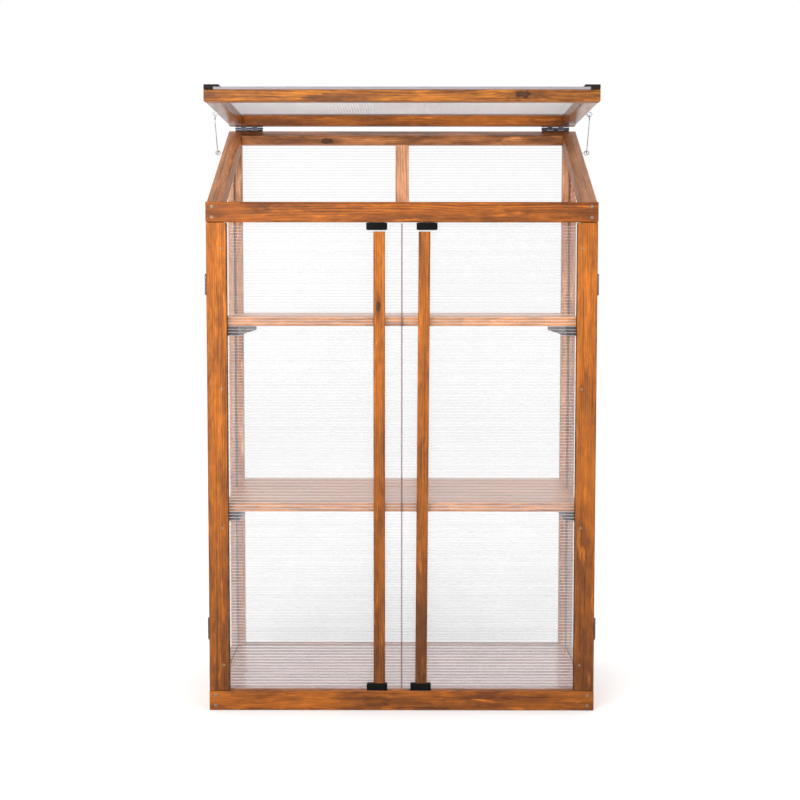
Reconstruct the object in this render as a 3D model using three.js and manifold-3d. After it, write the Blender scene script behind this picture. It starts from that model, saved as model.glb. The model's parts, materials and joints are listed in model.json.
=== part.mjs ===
// Mini greenhouse cabinet: a stained fir frame glazed with twin-wall polycarbonate,
// two side-hung doors, two shelves, a floor board and a hinged lid on two hook stays.
// Millimetres, +X to the right, +Y to the back, +Z up. The origin is at the middle of
// the footprint, on the ground. While it is built, Y = 0 is the front of the front rails.
import * as THREE from 'three';
import { mergeVertices } from 'three/addons/utils/BufferGeometryUtils.js';
import Module from 'manifold-3d';

const wasm = await Module();
wasm.setup();

// Cabinet
const width = 760;
const depth = 420;
const frontHeight = 1000;
const roofSlope = THREE.MathUtils.degToRad(23.7);
const post = 30;
const railThickness = 20;
const railHeight = 39;
const gap = 0.3;
const edge = 1.6;

// Glazing and the grooves and rebates that hold it
const sheet = 4;
const groove = 8;
const grooveWidth = 4.6;
const rebate = 12;
const rebateDepth = 4.8;
const sidePanelX = 365;

// Back frame
const backMiddleBottom = 979;
const backMiddleHeight = 40;
const backTopBottom = 1143.7;
const strutWidth = 29;

// Shelves
const shelfThickness = 18.5;
const boardEdge = 1;
const shelfTops = { upper: 778, middle: 411 };
const shelfFront = 24;
const shelfBack = 413;
const cleatInner = 321.5;
const cleatFront = 30;
const cleatHeight = 19.3;
const floorTop = 39;
const floorLedge = 8;
const floorNotch = 52;

// Doors
const stileWidth = 40;
const sheetIntoStile = 22;
const doorGap = 1;
const meetingGap = 1;
const battenCentre = 44;
const battenWidth = 22.6;
const battenThickness = 14;
const battenTop = 943;
const battenBottom = 53.6;
const battenLeanDegrees = { left: 0, right: 0.37 };
const catchCentres = { top: { left: 48.8, right: 48.8 }, bottom: { left: 48.8, right: 37.6 } };
const catchWidth = 40.6;
const catchHeights = { top: 14, bottom: 13 };
const catchDepth = 14.4;
const catchCorner = 2.4;
const doorHingeHeights = { upper: 840.7, lower: 160.8 };
const doorHingeLength = 40.5;
const doorHingeReach = 18;
const doorKnuckle = 2.2;

// Lid, in its own frame: origin on the hinge pin, front towards -Y, shown propped open
const lidHalfWidth = 377;
const lidLength = 456;
const lidThickness = 22;
const lidMember = 30;
const lidLift = 4;
const lidTilt = THREE.MathUtils.degToRad(-0.4);
const lidSheet = 4.8;
const lidSheetInset = 18;
const capHeight = 9.2;
const capFlange = 4.1;
const lidPinZ = 1181;
const lidHingeCentre = 336;
const lidHingeLength = 60;
const lidHingeReach = 24;
const lidKnuckle = 2.6;

// Screw eyes and hook stays
const eyePlane = 394;
const eyeRing = 4.8;
const eyeWire = 1.2;
const lidEyeBack = 143;
const railEyeY = 330;
const railEyeBelow = 14;
const stayWire = 1.1;
const stayLoop = 4.6;
const stayOffset = 4.2;
const stayTip = 4.5;
const stayBend = 3;
const stayNeck = 5;

const leafThickness = 1.5;

const half = width / 2;
const postInner = half - post;
const slopeRise = Math.tan(roofSlope);
const plumb = 1 / Math.cos(roofSlope);
const slopeZ = (y) => frontHeight + slopeRise * (y - railThickness);

// Materials
const stained = (color) => new THREE.MeshStandardMaterial({ color, roughness: 0.48, metalness: 0 });
const frameWood = stained(0xb06a35);
const doorWood = stained(0xb8682c);
const lidWood = stained(0xa9703f);
const shelfWood = stained(0xa8673d);
const polycarbonate = new THREE.MeshStandardMaterial({
  color: 0xf1f3f6,
  roughness: 0.25,
  metalness: 0,
  transparent: true,
  opacity: 0.45,
});
const steel = new THREE.MeshStandardMaterial({ color: 0x6c7078, roughness: 0.35, metalness: 0.9 });
const zincWire = new THREE.MeshStandardMaterial({ color: 0xb9bcc2, roughness: 0.3, metalness: 1 });
const blackPlastic = new THREE.MeshStandardMaterial({ color: 0x17151a, roughness: 0.5, metalness: 0 });
const brownPlastic = new THREE.MeshStandardMaterial({ color: 0x2a1c18, roughness: 0.5, metalness: 0 });

const greenhouse = new THREE.Group();
const lid = new THREE.Group();
const lidPinY = depth + lidKnuckle + 0.2;
lid.position.set(0, lidPinY, lidPinZ);
lid.rotation.x = lidTilt;
greenhouse.add(lid);

function add(name, geometry, material, parent = greenhouse) {
  const mesh = new THREE.Mesh(geometry, material);
  mesh.name = name;
  parent.add(mesh);
  return mesh;
}

// Prisms: a closed outline pushed along one axis.
function prism(outline, from, to, basis) {
  const shape = new THREE.Shape(outline.map(([a, b]) => new THREE.Vector2(a, b)));
  const solid = new THREE.ExtrudeGeometry(shape, { depth: to - from, bevelEnabled: false });
  solid.translate(0, 0, from);
  return solid.applyMatrix4(basis);
}

const axisX = new THREE.Vector3(1, 0, 0);
const axisY = new THREE.Vector3(0, 1, 0);
const axisZ = new THREE.Vector3(0, 0, 1);
const alongX = new THREE.Matrix4().makeBasis(axisY, axisZ, axisX);
const alongY = new THREE.Matrix4().makeBasis(axisX, axisZ, axisY.clone().negate());
const alongZ = new THREE.Matrix4();

const prismX = (outlineYZ, x0, x1) => prism(outlineYZ, Math.min(x0, x1), Math.max(x0, x1), alongX);
const prismY = (outlineXZ, y0, y1) => prism(outlineXZ, -y1, -y0, alongY);
const prismZ = (outlineXY, z0, z1) => prism(outlineXY, z0, z1, alongZ);

function box(x0, x1, y0, y1, z0, z1) {
  const solid = new THREE.BoxGeometry(Math.abs(x1 - x0), y1 - y0, z1 - z0);
  return solid.translate((x0 + x1) / 2, (y0 + y1) / 2, (z0 + z1) / 2);
}

// A rectangle with its four corners planed off.
function planed(a0, a1, b0, b1, c = edge) {
  const [low, high] = [Math.min(a0, a1), Math.max(a0, a1)];
  return [
    [low + c, b0], [high - c, b0], [high, b0 + c], [high, b1 - c],
    [high - c, b1], [low + c, b1], [low, b1 - c], [low, b0 + c],
  ];
}

function toSolid(geometry) {
  const bare = geometry.index ? geometry.toNonIndexed() : geometry.clone();
  bare.deleteAttribute('normal');
  bare.deleteAttribute('uv');
  const merged = mergeVertices(bare, 1e-4);
  return new wasm.Manifold(new wasm.Mesh({
    numProp: 3,
    vertProperties: Float32Array.from(merged.attributes.position.array),
    triVerts: Uint32Array.from(merged.index.array),
  }));
}

function fromSolid(solid) {
  const mesh = solid.getMesh();
  const geometry = new THREE.BufferGeometry();
  geometry.setAttribute('position', new THREE.BufferAttribute(Float32Array.from(mesh.vertProperties), 3));
  geometry.setIndex(new THREE.BufferAttribute(Uint32Array.from(mesh.triVerts), 1));
  const flat = geometry.toNonIndexed();
  flat.computeVertexNormals();
  return flat;
}

function join(...pieces) {
  return fromSolid(pieces.map(toSolid).reduce((sum, piece) => sum.add(piece)));
}

function cut(base, ...tools) {
  return fromSolid(tools.map(toSolid).reduce((rest, tool) => rest.subtract(tool), toSolid(base)));
}

// ---- Cabinet frame ----

add('front_bottom_rail', prismX(planed(0, railThickness, 0, railHeight), -half, half), frameWood);
add(
  'front_top_rail',
  prismX(planed(0, railThickness, frontHeight - railHeight, frontHeight), -half, half),
  frameWood,
);

const backFace = depth - post;
const underSlope = (y) => slopeZ(y) - post * plumb;

const backTopOutline = [
  [backFace, backTopBottom],
  [depth - rebateDepth, backTopBottom],
  [depth - rebateDepth, backTopBottom + rebate],
  [depth, backTopBottom + rebate],
  [depth, slopeZ(depth)],
  [backFace, slopeZ(backFace)],
];
add('back_top_rail', prismX(backTopOutline, gap - postInner, postInner - gap), frameWood);

const middleTop = backMiddleBottom + backMiddleHeight;
const backMiddleOutline = [
  [backFace, backMiddleBottom],
  [depth - rebateDepth, backMiddleBottom],
  [depth - rebateDepth, backMiddleBottom + rebate],
  [depth, backMiddleBottom + rebate],
  [depth, middleTop - rebate],
  [depth - rebateDepth, middleTop - rebate],
  [depth - rebateDepth, middleTop],
  [backFace, middleTop],
];
add('back_middle_rail', prismX(backMiddleOutline, gap - postInner, postInner - gap), frameWood);

const backBottomOutline = [
  [backFace, 0],
  [depth, 0],
  [depth, railHeight - rebate],
  [depth - rebateDepth, railHeight - rebate],
  [depth - rebateDepth, railHeight],
  [backFace, railHeight],
];
add('back_bottom_rail', prismX(backBottomOutline, gap - postInner, postInner - gap), frameWood);

const strutOutline = planed(-strutWidth / 2, strutWidth / 2, backFace, depth - rebateDepth - gap);
add('back_center_strut', prismZ(strutOutline, middleTop + gap, backTopBottom - gap), frameWood);

const panelBack = depth - rebateDepth + 0.5;
add(
  'back_panel_lower',
  box(
    -postInner - rebate + gap, postInner + rebate - gap, panelBack, panelBack + sheet,
    railHeight - rebate + gap, backMiddleBottom + rebate - gap,
  ),
  polycarbonate,
);

// The upper back panel is narrower where it passes between the ends of the sloped rails.
const panelShoulder = underSlope(panelBack) - 1;
const upperHalf = postInner + rebate - gap;
const upperNeck = postInner - gap * 2;
const upperPanelOutline = [
  [-upperHalf, middleTop - rebate + gap],
  [upperHalf, middleTop - rebate + gap],
  [upperHalf, panelShoulder],
  [upperNeck, panelShoulder],
  [upperNeck, backTopBottom + rebate - gap],
  [-upperNeck, backTopBottom + rebate - gap],
  [-upperNeck, panelShoulder],
  [-upperHalf, panelShoulder],
];
add('back_panel_upper', prismY(upperPanelOutline, panelBack, panelBack + sheet), polycarbonate);

const sides = { left: -1, right: 1 };
const grooveLow = sidePanelX - grooveWidth / 2;
const grooveHigh = sidePanelX + grooveWidth / 2;
const postFront = railThickness + gap;
const postBack = railThickness + post;

for (const [side, s] of Object.entries(sides)) {
  const frontPostOutline = [
    [postFront, 0],
    [postBack, 0],
    [postBack, underSlope(postBack) - gap],
    [postFront, underSlope(postFront) - gap],
  ];
  add(
    `front_post_${side}`,
    cut(
      prismX(frontPostOutline, s * postInner, s * half),
      box(s * grooveLow, s * grooveHigh, postBack - groove, postBack + 1, -1, frontHeight),
    ),
    frameWood,
  );

  const backPostOutline = [
    [backFace, 0],
    [depth, 0],
    [depth, underSlope(depth) - gap],
    [backFace, underSlope(backFace) - gap],
  ];
  const rebateEnd = s * (postInner + rebate);
  add(
    `back_post_${side}`,
    cut(
      prismX(backPostOutline, s * postInner, s * half),
      box(s * grooveLow, s * grooveHigh, backFace - 1, backFace + groove, -1, slopeZ(depth)),
      box(s * (postInner - 1), rebateEnd, depth - rebateDepth, depth + 1, -1, slopeZ(depth)),
    ),
    frameWood,
  );

  // The bottom rail carries the side panel in its top groove and the floor on its inner ledge.
  const ledge = floorTop - shelfThickness - gap;
  const bottomOutline = [
    [postInner, 0],
    [half, 0],
    [half, railHeight],
    [grooveHigh, railHeight],
    [grooveHigh, railHeight - groove],
    [grooveLow, railHeight - groove],
    [grooveLow, railHeight],
    [postInner + floorLedge, railHeight],
    [postInner + floorLedge, ledge],
    [postInner, ledge],
  ].map(([x, z]) => [s * x, z]);
  add(`side_bottom_rail_${side}`, prismY(bottomOutline, postBack + gap, backFace - gap), frameWood);

  const slopedOutline = [
    [postFront, underSlope(postFront)],
    [depth, underSlope(depth)],
    [depth, slopeZ(depth)],
    [postFront, slopeZ(postFront)],
  ];
  const slopedGroove = [
    [postFront - 5, underSlope(postFront - 5) - 5],
    [depth + 5, underSlope(depth + 5) - 5],
    [depth + 5, underSlope(depth + 5) + groove * plumb],
    [postFront - 5, underSlope(postFront - 5) + groove * plumb],
  ];
  add(
    `side_sloped_rail_${side}`,
    cut(
      prismX(slopedOutline, s * postInner, s * half),
      prismX(slopedGroove, s * grooveLow, s * grooveHigh),
    ),
    frameWood,
  );

  const panelFront = postBack - groove + 0.5;
  const panelRear = backFace + groove - 0.5;
  const panelTop = (y) => underSlope(y) + (groove - 0.5) * plumb;
  const panelOutline = [
    [panelFront, railHeight - groove + 0.5],
    [panelRear, railHeight - groove + 0.5],
    [panelRear, panelTop(panelRear)],
    [panelFront, panelTop(panelFront)],
  ];
  add(
    `side_panel_${side}`,
    prismX(panelOutline, s * (sidePanelX - sheet / 2), s * (sidePanelX + sheet / 2)),
    polycarbonate,
  );
}

// ---- Shelves, cleats and floor ----

for (const [level, top] of Object.entries(shelfTops)) {
  const underside = top - shelfThickness;
  const reach = postInner - 2 * gap;
  const boardOutline = planed(shelfFront, shelfBack, underside, top, boardEdge);
  add(`${level}_shelf`, prismX(boardOutline, -reach, reach), shelfWood);
  for (const [side, s] of Object.entries(sides)) {
    const cleatTop = underside - gap;
    const cleatLow = cleatTop - cleatHeight;
    const cleatOuter = postInner - gap;
    const cleatOutline = planed(s * cleatInner, s * cleatOuter, cleatLow, cleatTop, boardEdge);
    add(`${level}_shelf_cleat_${side}`, prismY(cleatOutline, cleatFront, shelfBack - 1), shelfWood);
  }
}

// The floor lies on the side rails' ledges and is notched round the front posts.
const floorReach = postInner + floorLedge - 0.4;
const floorTongue = postInner - 2 * gap;
const floorOutline = [
  [-floorTongue, railThickness + gap],
  [floorTongue, railThickness + gap],
  [floorTongue, floorNotch],
  [floorReach, floorNotch],
  [floorReach, backFace - 2],
  [-floorReach, backFace - 2],
  [-floorReach, floorNotch],
  [-floorTongue, floorNotch],
];
add('floor_board', prismZ(floorOutline, floorTop - shelfThickness, floorTop), shelfWood);

// ---- Hinges ----
// A leaf in its own frame: pin along Z, plate towards +X, mounting face towards -Y.
function hingeLeaf({ length, reach, radius, knuckles, carriesPin }) {
  const step = length / 5;
  const slot = radius + 0.5;
  const bore = radius * 0.58;
  const pin = radius * 0.45;
  const turned = (r, z0, z1) => {
    const barrel = new THREE.CylinderGeometry(r, r, z1 - z0, 16);
    return barrel.rotateX(Math.PI / 2).translate(0, 0, (z0 + z1) / 2);
  };
  const pieces = [box(slot, reach, -radius, -radius + leafThickness, -length / 2, length / 2)];
  const bores = [];
  for (const k of knuckles) {
    const z0 = -length / 2 + k * step + (k === 0 ? 0 : 0.2);
    const z1 = -length / 2 + (k + 1) * step - (k === 4 ? 0 : 0.2);
    pieces.push(box(0, slot + 0.1, -radius, -radius + leafThickness, z0, z1));
    pieces.push(turned(radius, z0, z1));
    if (!carriesPin) bores.push(turned(bore, z0 - 1, z1 + 1));
  }
  if (carriesPin) pieces.push(turned(pin, -length / 2, length / 2));
  const leaf = join(...pieces);
  return bores.length ? cut(leaf, ...bores) : leaf;
}

function placeLeaf(name, leaf, origin, plateDirection, mountNormal, parent) {
  const third = new THREE.Vector3().crossVectors(plateDirection, mountNormal);
  const mesh = add(name, leaf, steel, parent);
  mesh.applyMatrix4(new THREE.Matrix4().makeBasis(plateDirection, mountNormal, third));
  mesh.position.copy(origin);
  return mesh;
}

const outerKnuckles = [0, 2, 4];
const innerKnuckles = [1, 3];

// ---- Doors ----

const doorBottom = railHeight + doorGap;
const doorTop = frontHeight - railHeight - doorGap;
const doorBack = railThickness - gap;
const stileInner = half - stileWidth;
const doorSheetFront = railThickness - rebateDepth + 0.2;
const doorPinX = half + doorKnuckle + 0.3;

for (const [side, s] of Object.entries(sides)) {
  const sheetOuter = stileInner + sheetIntoStile;
  const stileOutline = [
    [stileInner + edge, 0],
    [half - gap - edge, 0],
    [half - gap, edge],
    [half - gap, doorBack],
    [sheetOuter + gap, doorBack],
    [sheetOuter + gap, doorSheetFront - gap],
    [stileInner, doorSheetFront - gap],
    [stileInner, edge],
  ].map(([x, y]) => [s * x, y]);
  add(`door_stile_${side}`, prismZ(stileOutline, doorBottom, doorTop), doorWood);

  add(
    `door_sheet_${side}`,
    box(
      s * meetingGap, s * sheetOuter, doorSheetFront, doorSheetFront + sheet,
      doorBottom + doorGap, doorTop - doorGap,
    ),
    polycarbonate,
  );

  // The right batten is screwed on a little out of upright, and its lower catch sits inward.
  const battenBack = doorSheetFront - gap;
  const battenFront = battenBack - battenThickness;
  const battenSection = planed(-battenWidth / 2, battenWidth / 2, battenFront, battenBack);
  const batten = add(
    `door_batten_${side}`,
    prismZ(battenSection, battenBottom - battenTop, 0),
    doorWood,
  );
  batten.position.set(s * battenCentre, 0, battenTop);
  batten.rotation.y = THREE.MathUtils.degToRad(battenLeanDegrees[side]);

  // The catches are square towards their rail and rounded towards the batten.
  const catches = {
    top: { root: doorTop, tip: doorTop - catchHeights.top },
    bottom: { root: doorBottom, tip: doorBottom + catchHeights.bottom },
  };
  for (const [end, { root, tip }] of Object.entries(catches)) {
    const inward = Math.sign(tip - root);
    const x0 = catchCentres[end][side] - catchWidth / 2;
    const x1 = catchCentres[end][side] + catchWidth / 2;
    const c = catchCorner;
    const near = 0.3 * c;
    const catchOutline = [
      [x0, root],
      [x0, tip - inward * c],
      [x0 + near, tip - inward * near],
      [x0 + c, tip],
      [x1 - c, tip],
      [x1 - near, tip - inward * near],
      [x1, tip - inward * c],
      [x1, root],
    ].map(([x, z]) => [s * x, z]);
    add(
      `door_catch_${end}_${side}`,
      prismY(catchOutline, battenBack - catchDepth, battenBack),
      blackPlastic,
    );
  }

  for (const [level, z] of Object.entries(doorHingeHeights)) {
    const spec = { length: doorHingeLength, reach: doorHingeReach, radius: doorKnuckle };
    const pinPoint = new THREE.Vector3(s * doorPinX, railThickness, z);
    const outward = axisX.clone().multiplyScalar(s);
    placeLeaf(
      `door_hinge_fixed_${level}_${side}`,
      hingeLeaf({ ...spec, knuckles: outerKnuckles, carriesPin: true }),
      pinPoint, axisY, outward, greenhouse,
    );
    placeLeaf(
      `door_hinge_moving_${level}_${side}`,
      hingeLeaf({ ...spec, knuckles: innerKnuckles, carriesPin: false }),
      pinPoint, axisY.clone().negate(), outward, greenhouse,
    );
  }
}

// ---- Lid ----

const lidBack = -(lidKnuckle + 0.2);
const lidFront = lidBack - lidLength;
const lidTop = lidLift + lidThickness;

add(
  'lid_front_rail',
  prismX(planed(lidFront, lidFront + lidMember, lidLift, lidTop), -lidHalfWidth, lidHalfWidth),
  lidWood,
  lid,
);
add(
  'lid_back_rail',
  prismX(planed(lidBack - lidMember, lidBack, lidLift, lidTop), -lidHalfWidth, lidHalfWidth),
  lidWood,
  lid,
);
add(
  'lid_sheet',
  box(
    lidSheetInset - lidHalfWidth, lidHalfWidth - lidSheetInset, lidFront + 2, lidBack - 2,
    lidTop + gap, lidTop + gap + lidSheet,
  ),
  polycarbonate,
  lid,
);

// Each stay hangs from the lowest point of its eye on the lid and reaches to the eye on the rail.
const stayHead = new THREE.Vector3(0, -lidEyeBack, lidLift + lidThickness / 2 - eyeRing);
stayHead.applyAxisAngle(axisX, lidTilt).add(lid.position);
const railEye = new THREE.Vector3(0, railEyeY, slopeZ(railEyeY) - railEyeBelow * plumb);
const stayRun = railEye.clone().sub(stayHead);
const stayLength = stayRun.length();
const stayDown = stayRun.clone().normalize();
const stayAcross = new THREE.Vector3().crossVectors(axisX, stayDown);

// A screw eye in its own frame: shank along +X from the timber, hole along Y.
function screwEye(reach) {
  const ring = new THREE.TorusGeometry(eyeRing, eyeWire, 8, 24);
  ring.rotateX(Math.PI / 2).translate(reach, 0, 0);
  const shankEnd = reach - eyeRing + eyeWire * 0.5;
  const shank = new THREE.CylinderGeometry(eyeWire, eyeWire, shankEnd - gap, 10);
  shank.rotateZ(Math.PI / 2).translate((gap + shankEnd) / 2, 0, 0);
  const collar = new THREE.CylinderGeometry(eyeWire * 2, eyeWire * 2, eyeWire, 12);
  collar.rotateZ(Math.PI / 2).translate(gap + eyeWire / 2, 0, 0);
  return join(ring, shank, collar);
}

// The centre line of a hook stay, in the plane of its swing: a straight wire from the loop on the
// lid's eye, then a square hook that passes through the rail's eye with room to slide out forwards.
function hookStayPath() {
  const at = (down, across) => new THREE.Vector3()
    .addScaledVector(stayDown, down)
    .addScaledVector(stayAcross, across);
  const bend = stayBend;
  const neck = stayLoop + stayNeck;
  const path = new THREE.CurvePath();
  path.add(new THREE.LineCurve3(at(stayLoop, 0), at(neck, -stayOffset)));
  path.add(new THREE.LineCurve3(at(neck, -stayOffset), at(stayLength - bend, -stayOffset)));
  path.add(new THREE.QuadraticBezierCurve3(
    at(stayLength - bend, -stayOffset), at(stayLength, -stayOffset), at(stayLength, -stayOffset + bend),
  ));
  path.add(new THREE.LineCurve3(at(stayLength, -stayOffset + bend), at(stayLength, stayTip)));
  const points = path.curves.flatMap((curve) => curve.getPoints(curve.isQuadraticBezierCurve3 ? 6 : 1));
  return points.filter((p, i) => i === 0 || p.distanceTo(points[i - 1]) > 1e-6);
}

// A round wire through a list of points that lie in one plane at right angles to X.
function wireThrough(points, radius) {
  const rings = points.map((point, i) => {
    const before = points[Math.max(0, i - 1)];
    const after = points[Math.min(points.length - 1, i + 1)];
    const inDirection = point.clone().sub(before).normalize();
    const outDirection = after.clone().sub(point).normalize();
    const along = inDirection.add(outDirection).normalize();
    const side = new THREE.Vector3().crossVectors(along, axisX).normalize();
    return { point, side };
  });
  const sectors = 8;
  const vertices = [];
  for (const { point, side } of rings) {
    for (let k = 0; k < sectors; k += 1) {
      const angle = (2 * Math.PI * k) / sectors;
      const offset = side.clone().multiplyScalar(radius * Math.cos(angle));
      offset.addScaledVector(axisX, radius * Math.sin(angle));
      vertices.push(...point.clone().add(offset).toArray());
    }
  }
  const first = vertices.length / 3;
  vertices.push(...points[0].toArray(), ...points[points.length - 1].toArray());
  const faces = [];
  for (let r = 0; r < rings.length - 1; r += 1) {
    for (let k = 0; k < sectors; k += 1) {
      const a = r * sectors + k;
      const b = r * sectors + ((k + 1) % sectors);
      faces.push(a, a + sectors, b, b, a + sectors, b + sectors);
    }
  }
  const last = (rings.length - 1) * sectors;
  for (let k = 0; k < sectors; k += 1) {
    const next = (k + 1) % sectors;
    faces.push(first, k, next);
    faces.push(first + 1, last + next, last + k);
  }
  const geometry = new THREE.BufferGeometry();
  geometry.setAttribute('position', new THREE.BufferAttribute(Float32Array.from(vertices), 3));
  geometry.setIndex(faces);
  return geometry;
}

for (const [side, s] of Object.entries(sides)) {
  add(
    `lid_side_rail_${side}`,
    prismY(
      planed(s * (lidHalfWidth - lidMember), s * lidHalfWidth, lidLift, lidTop),
      lidFront + lidMember + gap, lidBack - lidMember - gap,
    ),
    lidWood,
    lid,
  );

  // The corner cap stands beside the sheet and laps over its corner.
  const capBase = lidTop + gap;
  const capInner = lidHalfWidth - lidSheetInset + gap;
  const capOutline = [
    [capInner, capBase],
    [lidHalfWidth, capBase],
    [lidHalfWidth, capBase + capHeight - 1],
    [lidHalfWidth - 1, capBase + capHeight],
    [lidHalfWidth - lidMember + 1, capBase + capHeight],
    [lidHalfWidth - lidMember, capBase + capHeight - 1],
    [lidHalfWidth - lidMember, capBase + capHeight - capFlange],
    [capInner, capBase + capHeight - capFlange],
  ].map(([x, z]) => [s * x, z]);
  add(`lid_corner_cap_${side}`, prismY(capOutline, lidFront, lidFront + lidMember), brownPlastic, lid);

  const spec = { length: lidHingeLength, reach: lidHingeReach, radius: lidKnuckle };
  placeLeaf(
    `lid_hinge_fixed_${side}`,
    hingeLeaf({ ...spec, knuckles: outerKnuckles, carriesPin: true }),
    new THREE.Vector3(s * lidHingeCentre, lidPinY, lidPinZ), axisZ.clone().negate(), axisY, greenhouse,
  );
  placeLeaf(
    `lid_hinge_moving_${side}`,
    hingeLeaf({ ...spec, knuckles: innerKnuckles, carriesPin: false }),
    new THREE.Vector3(s * lidHingeCentre, 0, 0), axisZ, axisY, lid,
  );

  const lidEye = add(`lid_eye_${side}`, screwEye(eyePlane - lidHalfWidth), zincWire, lid);
  lidEye.position.set(s * lidHalfWidth, -lidEyeBack, lidLift + lidThickness / 2);
  if (s < 0) lidEye.rotation.z = Math.PI;

  const holeTilt = Math.atan2(stayAcross.z, stayAcross.y);
  const lowerEye = add(`rail_eye_${side}`, screwEye(eyePlane - half), zincWire);
  lowerEye.position.set(s * half, railEye.y, railEye.z);
  lowerEye.rotation.set(holeTilt, 0, s < 0 ? Math.PI : 0);

  const loop = new THREE.TorusGeometry(stayLoop, stayWire, 8, 20).rotateY(Math.PI / 2);
  const stay = add(`hook_stay_${side}`, join(loop, wireThrough(hookStayPath(), stayWire)), zincWire);
  stay.position.set(s * eyePlane, stayHead.y, stayHead.z);
}

// Bring the middle of the footprint to the origin.
greenhouse.updateMatrixWorld(true);
const footprint = new THREE.Box3().setFromObject(greenhouse, true).getCenter(new THREE.Vector3());
greenhouse.position.set(-footprint.x, -footprint.y, 0);

export default greenhouse;
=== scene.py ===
"""Mini greenhouse cabinet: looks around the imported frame, in metres and in the frame's own axes.

The timber, the twin-wall sheets, the hinges, the eyes, the stays and the catches are rebuilt from
the CAD nodes with rounded edges and inner detail. Screws, strike plates, magnets, edge tape and
flute closers are added.
"""
import json
import math

import bmesh
import bpy
from mathutils import Matrix, Vector


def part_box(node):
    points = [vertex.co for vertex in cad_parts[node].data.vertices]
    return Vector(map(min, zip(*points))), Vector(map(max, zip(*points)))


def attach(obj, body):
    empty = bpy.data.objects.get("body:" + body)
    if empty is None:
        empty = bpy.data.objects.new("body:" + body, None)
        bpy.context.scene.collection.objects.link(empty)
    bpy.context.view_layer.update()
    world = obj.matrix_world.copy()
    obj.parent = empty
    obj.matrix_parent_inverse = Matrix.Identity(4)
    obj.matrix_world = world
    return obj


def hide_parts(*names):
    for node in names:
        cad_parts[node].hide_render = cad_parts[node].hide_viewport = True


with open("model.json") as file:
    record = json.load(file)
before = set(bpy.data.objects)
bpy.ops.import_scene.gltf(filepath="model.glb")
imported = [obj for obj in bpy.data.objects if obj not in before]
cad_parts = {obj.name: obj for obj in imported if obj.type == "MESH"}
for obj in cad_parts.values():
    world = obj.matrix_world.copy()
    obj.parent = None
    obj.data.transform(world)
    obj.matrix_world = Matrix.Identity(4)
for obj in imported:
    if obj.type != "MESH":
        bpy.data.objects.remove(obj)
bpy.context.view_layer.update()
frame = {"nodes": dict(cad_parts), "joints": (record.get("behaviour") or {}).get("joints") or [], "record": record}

X_AXIS = Vector((1, 0, 0))
Y_AXIS = Vector((0, 1, 0))
Z_AXIS = Vector((0, 0, 1))
FRONT, BACK = -Y_AXIS, Y_AXIS
SIDES = {"left": -1, "right": 1}
MM = 0.001

joints = {joint["name"]: joint for joint in frame["joints"]}
LID_PIN = Vector(joints["lid_hinge"]["pos_m"])
LID_TILT = math.radians(-0.4)
ROOF_SLOPE = math.radians(23.7)
lid_frame = Matrix.Translation(LID_PIN) @ Matrix.Rotation(LID_TILT, 4, "X")
bodies = frame["record"]["behaviour"]["bodies"]
body_of = {node: body for body, nodes in bodies.items() for node in nodes}


def srgb(red, green, blue):
    """A colour given as 0 to 255 display values, in linear light."""
    channels = [value / 255 for value in (red, green, blue)]
    linear = [c / 12.92 if c <= 0.04045 else ((c + 0.055) / 1.055) ** 2.4 for c in channels]
    return (*linear, 1.0)


def tinted(color, factor):
    """A colour made lighter or darker."""
    return (*[min(1.0, channel * factor) for channel in color[:3]], 1.0)


# ---- Node trees ----

class Tree:
    """Adds nodes to a node tree and links them."""

    def __init__(self, tree):
        self.tree = tree

    def node(self, kind, inputs=None, **settings):
        made = self.tree.nodes.new(kind)
        for key, value in settings.items():
            setattr(made, key, value)
        for key, value in (inputs or {}).items():
            self.feed(made.inputs[key], value)
        return made

    def feed(self, socket, value):
        if isinstance(value, bpy.types.NodeSocket):
            self.tree.links.new(value, socket)
        else:
            socket.default_value = value

    def math(self, operation, *values, clamp=False):
        inputs = dict(enumerate(values))
        made = self.node("ShaderNodeMath", inputs, operation=operation, use_clamp=clamp)
        return made.outputs[0]

    def product(self, result, *factors):
        for factor in factors:
            result = self.math("MULTIPLY", result, factor)
        return result

    def vector(self, operation, *values, output=0):
        made = self.node("ShaderNodeVectorMath", dict(enumerate(values)), operation=operation)
        return made.outputs[output]

    def times(self, vector, factor):
        made = self.node("ShaderNodeVectorMath", {0: vector, "Scale": factor}, operation="SCALE")
        return made.outputs[0]

    def scaled(self, vector, factors):
        return self.vector("MULTIPLY", vector, factors)

    def noise(self, vector, scale, detail=2.0, roughness=0.5):
        """Noise with so many features a metre along each axis."""
        inputs = {
            "Vector": self.scaled(vector, scale), "Scale": 1.0, "Detail": detail,
            "Roughness": roughness,
        }
        return self.node("ShaderNodeTexNoise", inputs).outputs["Fac"]

    def ramp(self, factor, low, high, to_low=0.0, to_high=1.0):
        inputs = {
            "Value": factor, "From Min": low, "From Max": high, "To Min": to_low, "To Max": to_high,
        }
        made = self.node("ShaderNodeMapRange", inputs, interpolation_type="SMOOTHSTEP")
        return made.outputs[0]

    def mix(self, factor, first, second):
        made = self.node("ShaderNodeMix", data_type="RGBA", blend_type="MIX")
        self.feed(made.inputs[0], factor)
        self.feed(made.inputs[6], first)
        self.feed(made.inputs[7], second)
        return made.outputs[2]

    def position(self):
        return self.node("ShaderNodeTexCoord").outputs["Object"]

    def bump(self, height, strength, distance):
        inputs = {"Strength": strength, "Distance": distance, "Height": height}
        return self.node("ShaderNodeBump", inputs).outputs[0]


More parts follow.
